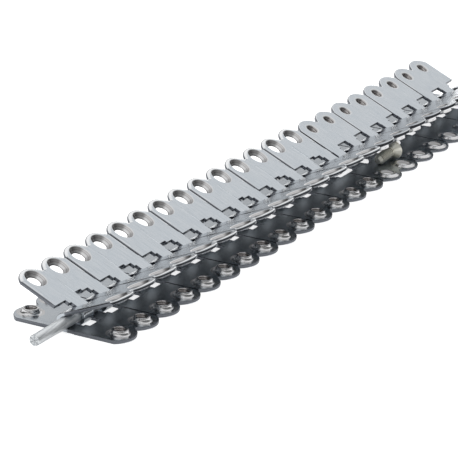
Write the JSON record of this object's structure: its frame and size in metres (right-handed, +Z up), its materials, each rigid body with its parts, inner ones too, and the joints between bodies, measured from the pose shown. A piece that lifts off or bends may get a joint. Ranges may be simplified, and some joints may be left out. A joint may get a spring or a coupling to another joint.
{
  "type": "belt fastener strip",
  "caption": "Hinged screw-on belt fastener strip: folded steel plates with countersunk and threaded legs, looped side by side round one steel hinge cable.",
  "frame": {"origin": "under the middle of the hinge cable, on the surface that the lower legs lie on", "axes": "+Y along the cable, +X across to the right-hand row, +Z up"},
  "size_m": [0.0662, 0.492, 0.0219],
  "materials": {
    "plate": "zinc plated, rolled grain",
    "cable": "stranded, pale zinc",
    "screw": "yellowish zinc"
  },
  "bodies": {
    "cable": {"hinge_cable": "cable"},
    "left_plate_01": {"left_plate_01": "plate"},
    "left_plate_02": {"left_plate_02": "plate"},
    "left_plate_03": {"left_plate_03": "plate"},
    "left_plate_04": {"left_plate_04": "plate"},
    "left_plate_05": {"left_plate_05": "plate"},
    "left_plate_06": {"left_plate_06": "plate"},
    "left_plate_07": {"left_plate_07": "plate"},
    "left_plate_08": {"left_plate_08": "plate"},
    "left_plate_09": {"left_plate_09": "plate"},
    "left_plate_10": {"left_plate_10": "plate"},
    "left_plate_11": {"left_plate_11": "plate"},
    "right_plate_01": {"right_plate_01": "plate"},
    "right_plate_02": {"right_plate_02": "plate"},
    "right_plate_03": {"right_plate_03": "plate"},
    "right_plate_04": {"right_plate_04": "plate"},
    "right_plate_05": {"right_plate_05": "plate"},
    "right_plate_06": {"right_plate_06": "plate"},
    "right_plate_07": {"right_plate_07": "plate"},
    "right_plate_08": {"right_plate_08": "plate", "loose_screw": "screw"},
    "right_plate_09": {"right_plate_09": "plate"},
    "right_plate_10": {"right_plate_10": "plate"},
    "right_plate_11": {"right_plate_11": "plate"}
  },
  "joints": [
    {"name": "left_swing_01", "type": "hinge", "parent": "cable", "child": "left_plate_01", "pos_m": [0, -0.2, 0.0047], "axis": [0, 1, 0], "range_deg": [-42, 20]},
    {"name": "left_swing_02", "type": "hinge", "parent": "cable", "child": "left_plate_02", "pos_m": [0, -0.16, 0.0047], "axis": [0, 1, 0], "range_deg": [-42, 20]},
    {"name": "left_swing_03", "type": "hinge", "parent": "cable", "child": "left_plate_03", "pos_m": [0, -0.12, 0.0047], "axis": [0, 1, 0], "range_deg": [-42, 20]},
    {"name": "left_swing_04", "type": "hinge", "parent": "cable", "child": "left_plate_04", "pos_m": [0, -0.08, 0.0047], "axis": [0, 1, 0], "range_deg": [-42, 20]},
    {"name": "left_swing_05", "type": "hinge", "parent": "cable", "child": "left_plate_05", "pos_m": [0, -0.04, 0.0047], "axis": [0, 1, 0], "range_deg": [-42, 20]},
    {"name": "left_swing_06", "type": "hinge", "parent": "cable", "child": "left_plate_06", "pos_m": [0, 0, 0.0047], "axis": [0, 1, 0], "range_deg": [-42, 20]},
    {"name": "left_swing_07", "type": "hinge", "parent": "cable", "child": "left_plate_07", "pos_m": [0, 0.04, 0.0047], "axis": [0, 1, 0], "range_deg": [-42, 20]},
    {"name": "left_swing_08", "type": "hinge", "parent": "cable", "child": "left_plate_08", "pos_m": [0, 0.08, 0.0047], "axis": [0, 1, 0], "range_deg": [-42, 20]},
    {"name": "left_swing_09", "type": "hinge", "parent": "cable", "child": "left_plate_09", "pos_m": [0, 0.12, 0.0047], "axis": [0, 1, 0], "range_deg": [-42, 20]},
    {"name": "left_swing_10", "type": "hinge", "parent": "cable", "child": "left_plate_10", "pos_m": [0, 0.16, 0.0047], "axis": [0, 1, 0], "range_deg": [-42, 20]},
    {"name": "left_swing_11", "type": "hinge", "parent": "cable", "child": "left_plate_11", "pos_m": [0, 0.2, 0.0047], "axis": [0, 1, 0], "range_deg": [-42, 20]},
    {"name": "right_swing_01", "type": "hinge", "parent": "cable", "child": "right_plate_01", "pos_m": [0, -0.2, 0.0047], "axis": [0, 1, 0], "range_deg": [-20, 42]},
    {"name": "right_swing_02", "type": "hinge", "parent": "cable", "child": "right_plate_02", "pos_m": [0, -0.16, 0.0047], "axis": [0, 1, 0], "range_deg": [-20, 42]},
    {"name": "right_swing_03", "type": "hinge", "parent": "cable", "child": "right_plate_03", "pos_m": [0, -0.12, 0.0047], "axis": [0, 1, 0], "range_deg": [-20, 42]},
    {"name": "right_swing_04", "type": "hinge", "parent": "cable", "child": "right_plate_04", "pos_m": [0, -0.08, 0.0047], "axis": [0, 1, 0], "range_deg": [-20, 42]},
    {"name": "right_swing_05", "type": "hinge", "parent": "cable", "child": "right_plate_05", "pos_m": [0, -0.04, 0.0047], "axis": [0, 1, 0], "range_deg": [-20, 42]},
    {"name": "right_swing_06", "type": "hinge", "parent": "cable", "child": "right_plate_06", "pos_m": [0, 0, 0.0047], "axis": [0, 1, 0], "range_deg": [-20, 42]},
    {"name": "right_swing_07", "type": "hinge", "parent": "cable", "child": "right_plate_07", "pos_m": [0, 0.04, 0.0047], "axis": [0, 1, 0], "range_deg": [-20, 42]},
    {"name": "right_swing_08", "type": "hinge", "parent": "cable", "child": "right_plate_08", "pos_m": [0, 0.08, 0.0047], "axis": [0, 1, 0], "range_deg": [-20, 42]},
    {"name": "right_swing_09", "type": "hinge", "parent": "cable", "child": "right_plate_09", "pos_m": [0, 0.12, 0.0047], "axis": [0, 1, 0], "range_deg": [-20, 42]},
    {"name": "right_swing_10", "type": "hinge", "parent": "cable", "child": "right_plate_10", "pos_m": [0, 0.16, 0.0047], "axis": [0, 1, 0], "range_deg": [-20, 42]},
    {"name": "right_swing_11", "type": "hinge", "parent": "cable", "child": "right_plate_11", "pos_m": [0, 0.2, 0.0047], "axis": [0, 1, 0], "range_deg": [-20, 42]}
  ]
}
